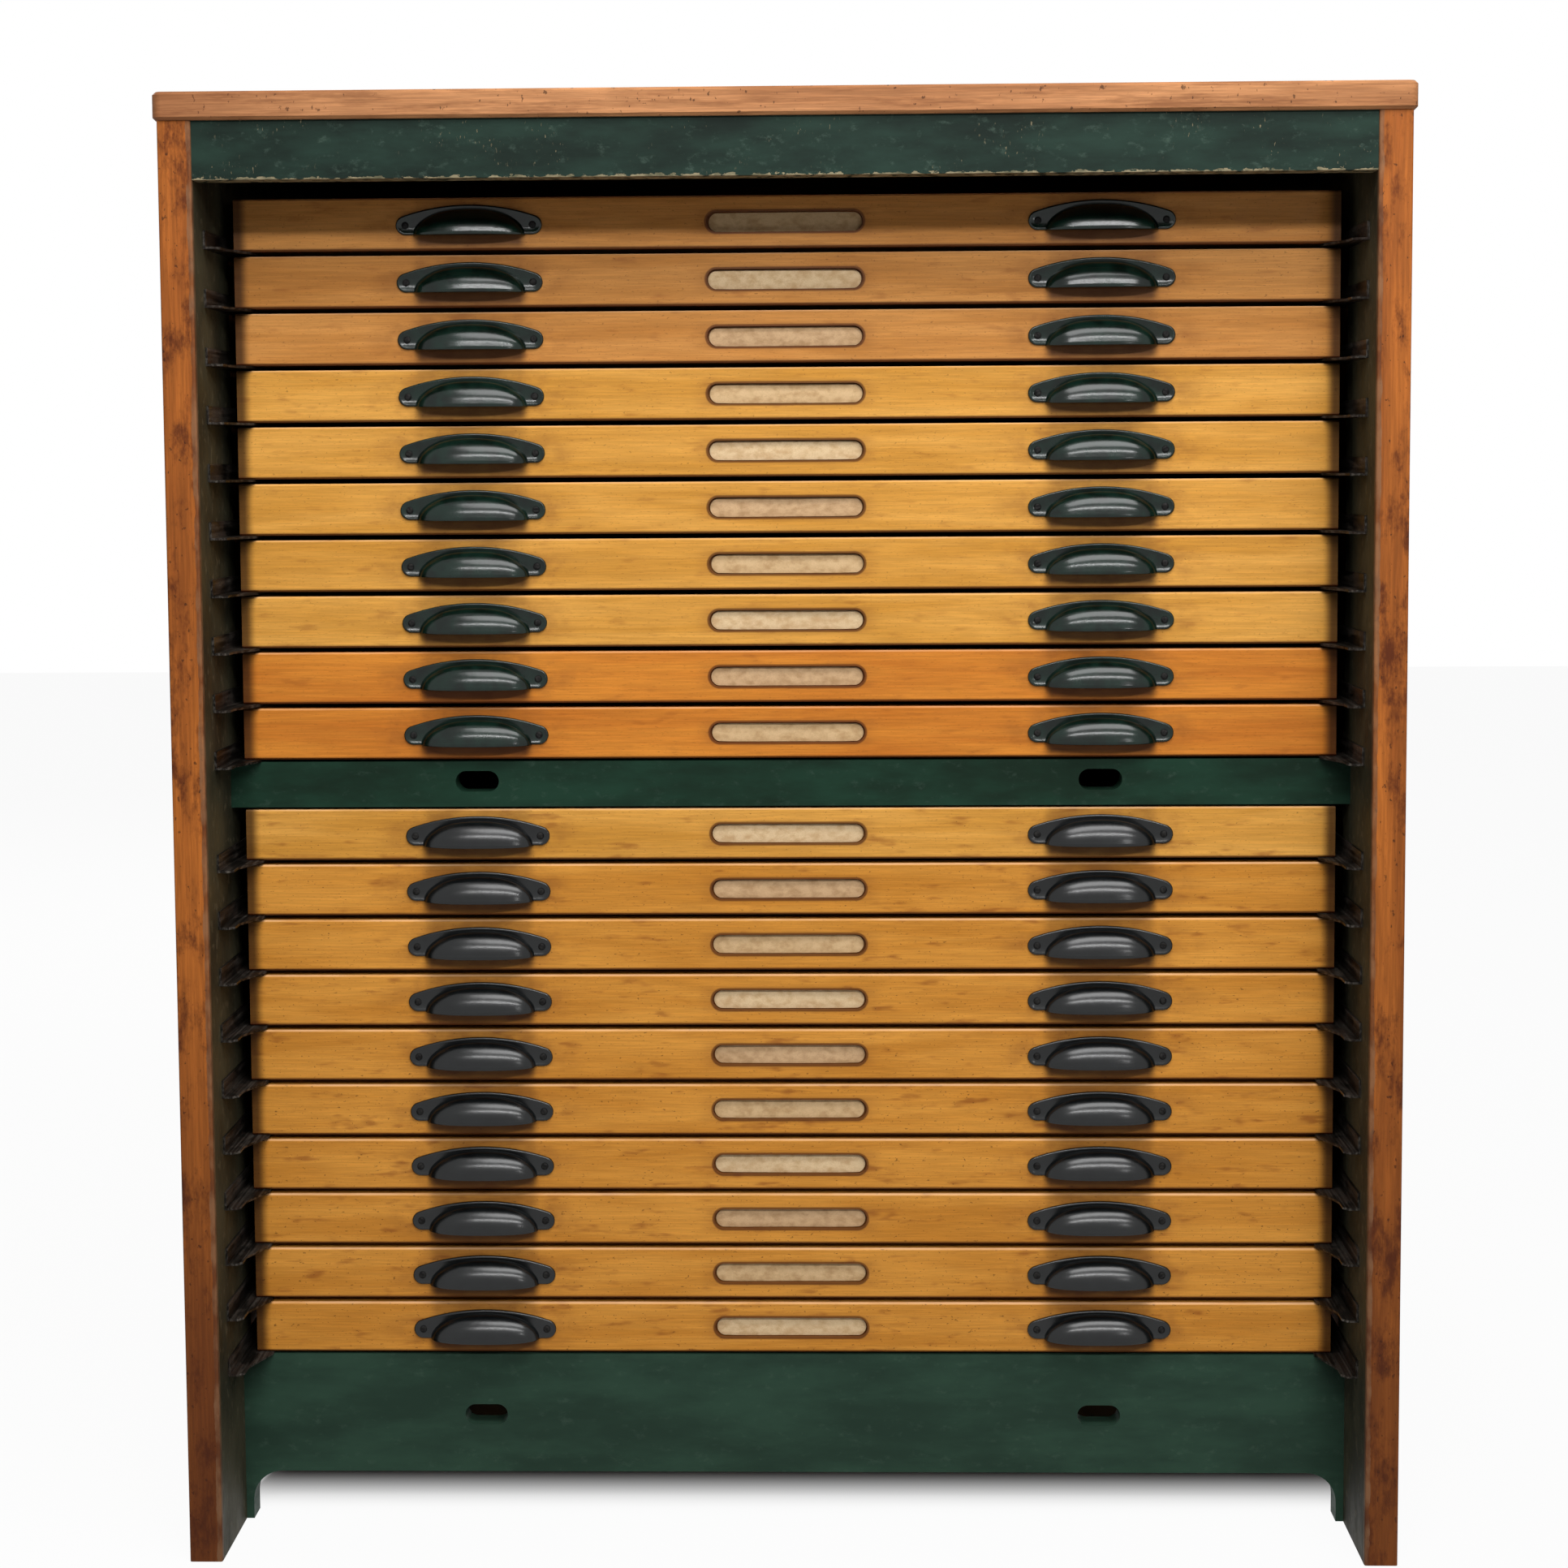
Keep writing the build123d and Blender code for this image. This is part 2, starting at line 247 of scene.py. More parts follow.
def grained(tree, place, light, dark, along, shift, strength=0.5):
    """Wood colour: broad changes of tone, and fine streaks that run along one axis."""
    broad_size = {"x": (260, 90, 26), "y": (90, 260, 26), "z": (30, 60, 300)}[along]
    streak_size = {"x": (45, 3, 1.6), "y": (3, 45, 1.6), "z": (2.2, 3, 60)}[along]
    broad = noise(tree, place, broad_size, detail=3, distortion=0.6, shift=shift)
    streaks = noise(tree, place, streak_size, detail=4, roughness=0.65, shift=shift + 3)
    tone = two_tones(tree, broad, 0.3, 0.72, dark, light)
    gain = node(tree, STEP, streaks, 0.35, 0.75, 1.0 - 0.35 * strength, 1.0 + 0.12 * strength)
    return node(tree, "MixRGB", gain, BLACK, tone), streaks


def flecks(tree, place, size_mm, low, high, shift):
    """Sparse small marks where a noise passes a high threshold."""
    return node(tree, STEP, noise(tree, place, size_mm, detail=2, shift=shift), low, high)


BLACK = (0, 0, 0, 1)

# Sizes read from the frame, in metres.
FRONT_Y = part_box("drawer_01")[0][1]
CASE_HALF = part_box("drawer_01")[1][0]
CASE_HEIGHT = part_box("drawer_01")[1][2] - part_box("drawer_01")[0][2]
INNER_HALF = -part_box("left_runners")[0][0]
POST_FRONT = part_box("left_front_post")[0][1]

# Sizes of a case front: how far the pulls stand from its middle, and its label window.
PULL_X = 280 / MM
LABEL_HEIGHT = 18 / MM
LABEL_LENGTH = 139 / MM


def case_wood(row, light, dark, dirt_and_painted_light):
    """Shellacked beech of a case: warm satin gloss in front, dusty bare wood behind it.

    Grain streaks are 1.6 mm wide, the short beech flecks 5 mm long, and dirt gathers round the
    pulls and the label window. Painted shadow lies under and above the pulls and painted shade at
    the front's ends and foot; the upper front edge is rubbed pale, partly as a painted highlight.
    The dirt number runs from 0 to 1 and scales the dirt, the painted shadows and the highlight
    alike.
    """
    material, tree = new_material(f"shellacked_beech_{row}")
    place, x, y, z = object_axes(tree)
    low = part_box(f"drawer_{row}")[0][2]
    top = low + CASE_HEIGHT
    shift = int(row) * 1.37
    sideways = node(tree, "Math.ABSOLUTE", x)
    height = node(tree, "Math.SUBTRACT", z, low + CASE_HEIGHT / 2)
    wood, streaks = grained(tree, place, light, dark, "x", shift)
    short_flecks = flecks(tree, place, (5, 5, 0.9), 0.62, 0.72, shift)
    wood = marked(tree, wood, short_flecks, 0.28, "6f3c14")
    stains = flecks(tree, place, (34, 20, 9), 0.58, 0.78, shift + 9)
    wood = marked(tree, wood, stains, 0.6 * dirt_and_painted_light, "7a3c16")
    specks = flecks(tree, place, (3.2, 3.2, 1.8), 0.67, 0.72, shift + 5)
    wood = marked(tree, wood, specks, 0.6 * dirt_and_painted_light, "2e1608")

    # Dirt from hands, clouded, in an ellipse round each pull that reaches 86 mm and 25 mm.
    from_pull = node(tree, "Math.SUBTRACT", sideways, PULL_X)
    across = node(tree, "Math.DIVIDE", from_pull, 86 / MM)
    up = node(tree, "Math.DIVIDE", height, 25 / MM)
    ellipse = node(tree, STEP, squares_added(tree, across, up), 1.5, 0.5)
    cloud = noise(tree, place, (22, 22, 14), detail=4, shift=shift + 7)
    near_pull = node(tree, "Math.MULTIPLY", ellipse, node(tree, STEP, cloud, 0.3, 0.7))

    # Dirt above and below the label window, up to 15 mm from its middle line.
    beside = node(tree, STEP, sideways, 86 / MM, 68 / MM)
    rim = node(tree, STEP, node(tree, "Math.ABSOLUTE", height), 15 / MM, 8.5 / MM)
    near_label = node(tree, "Math.MULTIPLY", beside, rim)
    near_label = node(tree, "Math.MULTIPLY", near_label, node(tree, "Math.MULTIPLY", cloud, 0.55))
    grime = node(tree, "Math.MAXIMUM", node(tree, "Math.MULTIPLY", near_pull, 0.45), near_label)
    wood = node(tree, "MixRGB", grime, wood, colour("7d4a20"))

    # A dark line round the label window: distance outside its stadium, up to 2.6 mm.
    past = node(tree, "Math.SUBTRACT", sideways, (LABEL_LENGTH - LABEL_HEIGHT) / 2)
    past = node(tree, "Math.MAXIMUM", past, 0.0)
    distance = node(tree, "Math.SQRT", squares_added(tree, past, height))
    outside = node(tree, "Math.SUBTRACT", distance, LABEL_HEIGHT / 2)
    wood = veiled(tree, wood, outside, 2.6 / MM, 1.0 / MM, 0.8, "451c0d")

    # Painted shadow under each cup's lip, and a paler painted shadow of the pull above over the
    # band above the cup on the dirtier rows. It reaches 53 mm to each side of the cup's middle.
    along_cup = node(tree, STEP, node(tree, "Math.ABSOLUTE", from_pull), 53 / MM, 43 / MM)
    from_edge = node(tree, STEP, z, low - 1 / MM, low + 7 / MM, 0.3 * dirt_and_painted_light, 0.8)
    to_cup = node(tree, STEP, z, low + 32 / MM, low + 24 / MM)
    below = node(tree, "Math.MULTIPLY", from_edge, to_cup)
    above = node(tree, STEP, z, low + 30 / MM, low + 38 / MM, 0.0, 0.3 * dirt_and_painted_light)
    pull_shadow = node(tree, "Math.MULTIPLY", along_cup, node(tree, "Math.MAXIMUM", below, above))
    wood = node(tree, "MixRGB", pull_shadow, wood, colour("32150a"))

    # Rubbed edge and painted highlight: the last 1.9 mm below the front's upper edge, unevenly
    # pale along it, partly worn wood and partly a painted highlight where the edge catches the
    # light.
    edge = node(tree, STEP, z, top - 1.9 / MM, top - 0.4 / MM)
    front_only = node(tree, STEP, y, FRONT_Y + 4 / MM, FRONT_Y + 3 / MM)
    uneven = node(tree, STEP, noise(tree, place, (60, 20, 20), shift=shift), 0.25, 0.6,
                  0.05 + 0.15 * dirt_and_painted_light, 0.15 + 0.4 * dirt_and_painted_light)
    rubbed_and_highlit = node(tree, "Math.MULTIPLY", node(tree, "Math.MULTIPLY", edge, front_only), uneven)
    wood = node(tree, "MixRGB", rubbed_and_highlit, wood, colour("e9bd92"))

    # Dirt and painted shade on the last 14 mm at each end of the front, where the posts and
    # runners shade it, and a brown line 3 mm high along its foot that is painted shade of the dark
    # gap below.
    end_dirt_and_shade = node(tree, STEP, sideways, CASE_HALF - 14 / MM, CASE_HALF - 4 / MM)
    foot = node(tree, STEP, z, low + 3.2 / MM, low + 0.8 / MM)
    wood = marked(tree, wood, end_dirt_and_shade, 0.86, "331a0b")
    wood = marked(tree, wood, foot, 0.85, "4a200e")

    # Behind the front board, 17 mm thick, the wood is bare, greyer and dusty.
    inside = node(tree, STEP, y, FRONT_Y + 17 / MM, FRONT_Y + 18 / MM)
    bare = two_tones(tree, streaks, 0.3, 0.8, "8a6238", "b88d5a")
    dust = noise(tree, place, (70, 70, 40), detail=4, shift=shift + 2)
    bare = veiled(tree, bare, dust, 0.35, 0.75, 0.5, "6b5a45")
    wood = node(tree, "MixRGB", inside, wood, bare)

    satin = node(tree, STEP, cloud, 0.2, 0.8, 0.34, 0.48)
    roughness = node(tree, "Math.MULTIPLY_ADD", inside, 0.32, satin)
    return finish_material(material, tree, wood, roughness, bump=streaks, bump_mm=0.12)


def stained_wood(name, light, dark, stain, along, shift, stains, painted=False,
                 worn_strip=False, dark_end=False):
    """Oiled softwood of the frame, stained by use: streaks 2 mm wide along the grain.

    stains runs from 0 to 1. painted covers the faces towards the cases with old dark green oil
    paint, chipped in flakes of 9 to 12 mm. worn_strip rubs the paint's front edge to pale wood.
    dark_end browns the board's left end.
    """
    material, tree = new_material(name)
    place, x, y, z = object_axes(tree)
    wood, streaks = grained(tree, place, light, dark, along, shift, strength=0.8)
    stain_size = {"x": (110, 60, 14), "y": (60, 110, 30), "z": (26, 26, 60)}[along]
    blotch = noise(tree, place, stain_size, detail=5, roughness=0.7, shift=shift + 4)
    wood = veiled(tree, wood, blotch, 0.47, 0.66, stains, stain)
    specks = flecks(tree, place, (4, 4, 6), 0.66, 0.72, shift + 8)
    wood = marked(tree, wood, specks, 0.7, "2a140a")
    # The wood grows darker and redder from 0.75 m down to the floor.
    wood = veiled(tree, wood, z, 0.75, 0.0, 0.8 * stains, "3d1c0e")
    if dark_end:
        wood = veiled(tree, wood, x, -0.30, -0.56, 0.55, "66351c")
    if painted:
        sideways = node(tree, "Math.ABSOLUTE", x)
        clouds = noise(tree, place, (60, 60, 90), detail=4)
        paint = two_tones(tree, clouds, 0.3, 0.7, "1f1e15", "3b3829")
        flakes = flecks(tree, place, (9, 9, 12), 0.60, 0.66, shift + 1)
        paint = marked(tree, paint, flakes, 0.45, "524c3c")
        covered = node(tree, STEP, sideways, INNER_HALF + 0.4 / MM, INNER_HALF + 0.2 / MM)
        wood = node(tree, "MixRGB", covered, wood, paint)
        if worn_strip:
            ragged = noise(tree, place, (12, 12, 26), detail=4, shift=shift + 6)
            reach = node(tree, "Math.MULTIPLY_ADD", ragged, 5 / MM, INNER_HALF + 1.5 / MM)
            strip = node(tree, "Math.LESS_THAN", sideways, reach)
            front = node(tree, STEP, y, POST_FRONT + 7 / MM, POST_FRONT + 3 / MM)
            strip = node(tree, "Math.MULTIPLY", node(tree, "Math.MULTIPLY", strip, front), 0.7)
            pale = two_tones(tree, ragged, 0.35, 0.65, "54301c", "7d5c42")
            wood = node(tree, "MixRGB", strip, wood, pale)
    roughness = node(tree, STEP, blotch, 0.3, 0.7, 0.5, 0.68)
    return finish_material(material, tree, wood, roughness, bump=streaks, bump_mm=0.2)


def green_paint(name, node_name, light, dark, shift, wear_mm=0.0):
    """Dark green oil paint on boards: satin, clouded in tone over some 100 mm, and rubbed.

    wear_mm is how far up the lower edge is worn to bare wood, in a ragged line, with clusters
    of upright nicks 1.6 mm wide above it.
    """
    material, tree = new_material(name)
    place, _, _, z = object_axes(tree)
    tone = noise(tree, place, (110, 60, 34), detail=5, roughness=0.6, shift=shift)
    paint = two_tones(tree, tone, 0.3, 0.7, dark, light)
    rubs = noise(tree, place, (14, 20, 9), detail=6, roughness=0.7, shift=shift + 2)
    paint = veiled(tree, paint, rubs, 0.55, 0.75, 0.2 + 0.06 * wear_mm, "52655a")
    bare = 0.0
    if wear_mm:
        above = node(tree, "Math.SUBTRACT", z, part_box(node_name)[0][2])
        nicks = flecks(tree, place, (1.6, 20, 5), 0.66, 0.72, shift + 5)
        cluster = flecks(tree, place, (45, 45, 30), 0.52, 0.66, shift + 13)
        nicks = node(tree, "Math.MULTIPLY", nicks, cluster)
        ragged = noise(tree, place, (9, 11, 5), detail=5, roughness=0.6, shift=shift + 7)
        line = node(tree, STEP, ragged, 0.35, 0.70, -0.5 / MM, wear_mm / MM)
        bare = node(tree, "Math.MAXIMUM", node(tree, "Math.LESS_THAN", above, line), nicks)
        wood = two_tones(tree, rubs, 0.35, 0.65, "5d5a45", "9a8d70")
        paint = node(tree, "MixRGB", node(tree, "Math.MULTIPLY", bare, 0.8), paint, wood)
    roughness = node(tree, STEP, rubs, 0.3, 0.7, 0.42, 0.56)
    lifted = node(tree, "Math.SUBTRACT", node(tree, "Math.MULTIPLY", tone, 0.2), bare)
    return finish_material(material, tree, paint, roughness, bump=lifted, bump_mm=0.2,
                           Specular_IOR_Level=0.08)


def pull_enamel(name, light, dark, gloss, specular):
    """Enamelled cast iron of the pulls: near black, with the slight waves of sand casting.

    The waves are 14 mm long, and the sand's grit is drawn 1.5 mm wide so that it shows.
    """
    material, tree = new_material(name)
    place = object_axes(tree)[0]
    waves = noise(tree, place, (14, 14, 14), detail=3)
    base = two_tones(tree, waves, 0.35, 0.65, dark, light)
    grit = noise(tree, place, (1.5, 1.5, 1.5), detail=2)
    bump = node(tree, "Math.MULTIPLY_ADD", grit, 0.06, waves)
    roughness = node(tree, STEP, grit, 0.3, 0.7, gloss, gloss + 0.05)
    return finish_material(material, tree, base, roughness, bump=bump, bump_mm=0.12,
                           Specular_IOR_Level=specular)


def runner_steel():
    """Rolled steel of the runners: dull near-black brown, rubbed grey in streaks by the cases."""
    material, tree = new_material("worn_rolled_steel")
    place = object_axes(tree)[0]
    patches = noise(tree, place, (18, 40, 12), detail=5, roughness=0.65)
    rubs = noise(tree, place, (2, 90, 4), detail=3, shift=4)
    steel = two_tones(tree, rubs, 0.4, 0.7, "24211e", "5c5751")
    steel = veiled(tree, steel, patches, 0.45, 0.65, 0.7, "1f130c")
    metal = node(tree, STEP, patches, 0.45, 0.65, 0.9, 0.25)
    roughness = node(tree, STEP, patches, 0.4, 0.7, 0.38, 0.7)
    return finish_material(material, tree, steel, roughness, bump=patches, bump_mm=0.15,
                           Metallic=metal)


def label_card(number, light, dark):
    """Old label card: matt cream stock, foxed brown in spots of 6 to 9 mm, no writing.

    The stock's fibre is drawn 1.2 mm long, coarser than it is, so that it shows.
    """
    material, tree = new_material(f"foxed_card_{number}")
    place = object_axes(tree)[0]
    foxing = noise(tree, place, (9, 9, 6), detail=4, shift=number * 2.3)
    fibre = noise(tree, place, (1.2, 1.2, 0.6), detail=2, shift=number)
    paper = two_tones(tree, foxing, 0.35, 0.75, light, dark)
    paper = veiled(tree, paper, fibre, 0.3, 0.8, 0.22, "8c6b45")
    return finish_material(material, tree, paper, 0.82, bump=fibre, bump_mm=0.05)


def plain_iron(name, light, dark, roughness, metal):
    """Small ironwork, such as screw heads, darkened by handling in patches of 3 mm."""
    material, tree = new_material(name)
    place = object_axes(tree)[0]
    patches = noise(tree, place, (3, 3, 3), detail=3)
    base = two_tones(tree, patches, 0.35, 0.65, dark, light)
    dull = node(tree, STEP, patches, 0.3, 0.7, roughness, roughness + 0.2)
    return finish_material(material, tree, base, dull, bump=patches, bump_mm=0.08, Metallic=metal)


# ---- Materials ----

# Batches of beech, each as a light and a dark tone. The brown batch is also darker as painted
# shade, for the rows under the top rail.
BROWN_AND_SHADED, GOLDEN = ("d0904b", "b97a38"), ("dda14b", "c88c37")
ORANGE, AMBER = ("d58732", "bf7026"), ("d8963f", "c17f2d")

# Each row's batch and dirt, from the top: three browned rows, whose tone is also painted shade
# from the top rail, five golden and two orange ones, then below the middle rail a golden one
# and nine amber ones. The dirt number also scales the painted shadows and highlight of a front.
ROW_LOOKS = ([(*BROWN_AND_SHADED, 0.6)] * 3 + [(*GOLDEN, 0.6)] * 5 + [(*ORANGE, 0.5)] * 2
             + [(*GOLDEN, 0.9)] + [(*AMBER, 1.0)] * 9)

case_materials = {row: case_wood(row, *looks) for row, looks in zip(ROW_NAMES, ROW_LOOKS)}
post_wood = stained_wood("oiled_pine_post", "b96a2a", "92501f", "44190a", "z", 0.0, 0.85,
                         painted=True, worn_strip=True)
rail_wood = stained_wood("oiled_pine_rail", "b06c3a", "8b522a", "5a2c16", "y", 11.0, 0.5,
                         painted=True)
back_wood = stained_wood("bare_pine_back", "b08d62", "8c6a45", "63462d", "z", 23.0, 0.35)
panel_wood = stained_wood("oiled_pine_panel", "ab6838", "875029", "5e301a", "z", 31.0, 0.4)
top_wood = stained_wood("worn_top_board", "c58a5b", "a26b43", "5e321c", "x", 47.0, 0.45,
                        dark_end=True)
top_rail_paint = green_paint("green_oil_paint_top", "top_front_rail", "21342c", "121d18", 1.0, 3.0)
mid_rail_paint = green_paint("green_oil_paint_middle", "middle_rail", "1b3629", "122319", 5.0)
base_paint = green_paint("green_oil_paint_base", "base_front_panel", "2c4437", "22352b", 9.0)
gloss_enamel = pull_enamel("gloss_enamelled_iron", "0c1f18", "05100b", 0.16, 0.32)
satin_enamel = pull_enamel("satin_enamelled_iron", "0a0d0e", "040607", 0.20, 0.40)
steel = runner_steel()
cards = [label_card(1, "d6b68a", "bb986c"), label_card(2, "e0c59c", "c8a57a"),
         label_card(3, "cfac84", "b39068")]
screw_iron = plain_iron("blackened_screw_iron", "262524", "121111", 0.5, 0.5)

CARRIED = {
    "top_board": top_wood, "top_front_rail": top_rail_paint, "middle_rail": mid_rail_paint,
    "base_front_panel": base_paint, "left_front_post": post_wood, "right_front_post": post_wood,
    "left_rear_post": post_wood, "right_rear_post": post_wood, "left_side_rails": rail_wood,
    "right_side_rails": rail_wood, "left_side_panels": panel_wood,
    "right_side_panels": panel_wood, "back_panels": back_wood, "rear_bottom_rail": back_wood,
    "rear_top_rail": back_wood, "rear_muntin": back_wood, "rear_stops": back_wood,
    "left_runners": steel, "right_runners": steel,
}
CARRIED.update({f"drawer_{row}": case_materials[row] for row in ROW_NAMES})
for name, material in CARRIED.items():
    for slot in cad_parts[name].material_slots:
        slot.material = material


# ---- Pulls ----

# Sizes in mm, measured from the middle of the pull's foot: the cup's half length, its top, how
# far it stands out and its wall, the ears' centres and radius, and the top of the crown.
CUP_HALF, CUP_TOP, CUP_REACH, CUP_WALL = 50.0, 23.0, 17.0, 2.0
EAR_X, EAR_UP, EAR_RADIUS, CROWN = 56.5, 8.5, 8.5, 26.5

# The crown's arc passes its top and touches both ears' circles from outside.
CROWN_RADIUS = ((EAR_X**2 + (CROWN - EAR_UP)**2 - EAR_RADIUS**2)
                / (2 * (CROWN - EAR_UP - EAR_RADIUS)))

# The flange's rim and the card's edge, as distances in from the outline and heights in mm.
BEAD = [(0, 0.0), (0, 1.3), (0.35, 2.0), (1.1, 2.45), (2.0, 2.35), (2.9, 1.8)]
CARD_EDGE = [(0, 0.0), (0, 0.35), (0.2, 0.4)]
CARD_LENGTH, CARD_HEIGHT = 136.0, 16.6


def flange_outline(count):
    """The flange's plan: a long arc over the cup, tangent to a round ear at each end.

    Every outline point is the farthest point in its direction from a spine between the two
    ears' centres: a circle of the ear's radius at the ends, the crown's arc above, and a
    straight foot below.
    """
    radius = CROWN_RADIUS
    centre = CROWN - radius
    reach = radius / (radius - EAR_RADIUS)
    touch = np.array([EAR_X * reach, centre + (EAR_UP - centre) * reach])
    start = math.atan2(touch[1] - centre, touch[0])
    crown_turn = np.linspace(start, math.pi - start, count // 2)
    crown = np.column_stack([radius * np.cos(crown_turn), centre + radius * np.sin(crown_turn)])
    ear_start = math.atan2(touch[1] - EAR_UP, touch[0] - EAR_X)
    ear_turn = np.linspace(-math.pi / 2, ear_start, count // 6, endpoint=False)
    right = np.column_stack([EAR_X + EAR_RADIUS * np.cos(ear_turn),
                             EAR_UP + EAR_RADIUS * np.sin(ear_turn)])
    left = right[::-1] * [-1, 1]
    foot_x = np.linspace(-EAR_X, EAR_X, count // 6 + 2)[1:-1]
    foot = np.column_stack([foot_x, np.full(len(foot_x), EAR_UP - EAR_RADIUS)])
    outline = np.concatenate([right, crown, left, foot])
    spine = np.column_stack([np.clip(outline[:, 0], -EAR_X, EAR_X), np.full(len(outline), EAR_UP)])
    return outline, spine


def cup_skin(half, top, reach, turns, stations):
    """One skin of the cup, from the flange down to the lip: quarter ellipses across it.

    Along the pull, the top follows the crown's long arc and drops at round shoulders, and the
    reach stays level before it rounds off to the ends.
    """
    share = np.cos(np.linspace(math.pi, 0, stations))
    share = np.sign(share) * np.abs(share)**0.8
    x = half * share
    arc = top - CROWN_RADIUS + np.sqrt(CROWN_RADIUS**2 - x**2)
    up = arc * (1 - np.abs(share)**4)**0.5
    out = reach * (1 - np.abs(share)**2.6)**0.5
    turn = np.linspace(math.pi / 2, 0, turns)[:, None]
    return np.stack([np.broadcast_to(x, (turns, stations)), up * np.sin(turn),
                     out * np.cos(turn)**0.95], axis=-1)


def cup_shell(stations=41, turns=15):
    """The hollow cup: an outer and an inner skin, joined round the lip by a half circle.

    The outer skin flares where it meets the flange, and swells slightly at the lip.
    """
    skin = cup_skin(CUP_HALF, CUP_TOP, CUP_REACH, turns, stations)
    skin[..., 1] += 1.2 * np.exp(-skin[..., 2] / 1.2) * np.minimum(skin[..., 1] / 8, 1)
    skin[..., 2] *= 1 + 0.025 * np.exp(-(skin[..., 1] / 1.6)**2)
    hollow = cup_skin(CUP_HALF - CUP_WALL, CUP_TOP - CUP_WALL, CUP_REACH - CUP_WALL,
                      turns, stations)[::-1]
    turn = np.linspace(0, -math.pi, 6)[1:-1, None, None]
    middle, half = (skin[-1] + hollow[0]) / 2, (skin[-1] - hollow[0]) / 2
    lip = middle + half * np.cos(turn)
    lip[..., 1] += 0.9 * np.sin(turn[..., 0])
    points = np.concatenate([skin, lip, hollow])
    return points, grid_quads(len(points), stations)


def screw_head(turn):
    """A slotted round head 6.4 mm across: rings on a dome, lowered in a band across it."""
    count = 12
    around = np.linspace(0, 2 * math.pi, count, endpoint=False)
    radii = np.array([3.2, 3.2, 2.5, 1.4, 0.01])
    heights = np.array([0.0, 0.5, 1.1, 1.45, 1.5])
    x = radii[:, None] * np.cos(around)
    y = radii[:, None] * np.sin(around)
    across = np.abs(x * math.sin(turn) - y * math.cos(turn))
    out = heights[:, None] - 0.8 * (across < 0.45) * (radii[:, None] < 3)
    points = np.stack([x, y, out], axis=-1)
    return points, grid_quads(len(radii), count, ring=True)


flange = relief(*flange_outline(72), BEAD)
cup = cup_shell()
card = relief(*stadium(CARD_LENGTH, CARD_HEIGHT, 48), CARD_EDGE)

# ---- Pieces of each case ----

def add_pulls(row, enamel, generator):
    """Two cup pulls on a case front, and a screw on the flange in each ear.

    A screw's slot is turned by chance. The heads sit 1.8 mm out, on the flange inside its bead.
    """
    foot_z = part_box(f"drawer_{row}_pulls")[0][2]
    pulls, heads = [], []
    for x in (-PULL_X, PULL_X):
        pulls += [on_front(flange, x, foot_z, FRONT_Y), on_front(cup, x, foot_z, FRONT_Y)]
        for side in (-1, 1):
            head = screw_head(generator.uniform(0, math.pi))
            heads.append(on_front(head, x + side * EAR_X / MM, foot_z + EAR_UP / MM,
                                  FRONT_Y - 1.8 / MM))
    made = piece(f"cup_pulls_{row}", f"drawer_{row}", pulls, [enamel] * len(pulls))
    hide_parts(f"drawer_{row}_pulls")
    made = piece(f"pull_screws_{row}", f"drawer_{row}", heads, [screw_iron] * len(heads),
                 closed=False)


def add_card(row, material, generator):
    """A label card in a case's window: a flat stadium, bowed out by a sine 0.35 mm high.

    It slips sideways by up to 0.6 mm and lies slightly aslant: its rise is in proportion to
    the distance along it.
    """
    low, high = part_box(f"drawer_{row}")
    points, quads = card
    slip, phase, slant = generator.uniform(-0.6, 0.6, 3)
    along = points[..., 0]
    wave = 0.35 * np.sin(along / CARD_LENGTH * 2 * math.pi * (1 + 0.5 * slip) + phase * 5)
    rise = 0.25 * slant * along / (CARD_LENGTH / 2)
    points = points + np.stack([np.full_like(wave, slip), rise, 0.5 + wave], axis=-1)
    window_z = (low[2] + high[2]) / 2
    shape = on_front((points, quads), 0.0, window_z - 0.3 / MM, FRONT_Y + 5 / MM)
    piece(f"label_card_{row}", f"drawer_{row}", [shape], [material])


def add_strips(row):
    """Thin strips that part the type cells, standing between the case's bars.

    The bars leave rows of three, four and three large cells. A strip along x parts each one
    in two, and strips along y part it in five, or in three in the middle row.
    """
    low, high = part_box(f"drawer_{row}")
    wall, bar, half_strip = 12 / MM, 5 / MM, 0.9 / MM
    inner_half = CASE_HALF - wall
    near, far = FRONT_Y + 19 / MM, high[1] - wall
    row_depth = (far - near - 2 * bar) / 3
    upright = (low[2] + 5 / MM, low[2] + 36 / MM)
    strips = []
    for line, (cells, split) in enumerate([(3, 5), (4, 3), (3, 5)]):
        y0 = near + line * (row_depth + bar)
        middle = y0 + row_depth / 2
        cell = (2 * inner_half - (cells - 1) * bar) / cells
        for number in range(cells):
            x0 = -inner_half + number * (cell + bar)
            strips.append((x0, x0 + cell, middle - half_strip, middle + half_strip, *upright))
            for part in range(1, split):
                x = x0 + cell * part / split
                strips.append((x - half_strip, x + half_strip, y0, y0 + row_depth, *upright))
    made = piece(f"type_cell_strips_{row}", f"drawer_{row}", [boxes(strips)],
                 [case_materials[row]], smooth=False)


for index, row in enumerate(ROW_NAMES):
    generator = np.random.default_rng(100 + index)
    add_pulls(row, gloss_enamel if index < ROWS // 2 else satin_enamel, generator)
    add_card(row, cards[index % len(cards)], generator)
    add_strips(row)


# ---- Stage, light and camera ----

def seen_white(tree):
    """1 for the rays that show the background: those of the camera, of gloss and of glass."""
    rays = node(tree, "LightPath").node.outputs
    shown = node(tree, "Math.MAXIMUM", rays["Is Glossy Ray"], rays["Is Transmission Ray"])
    return node(tree, "Math.MAXIMUM", rays["Is Camera Ray"], shown)


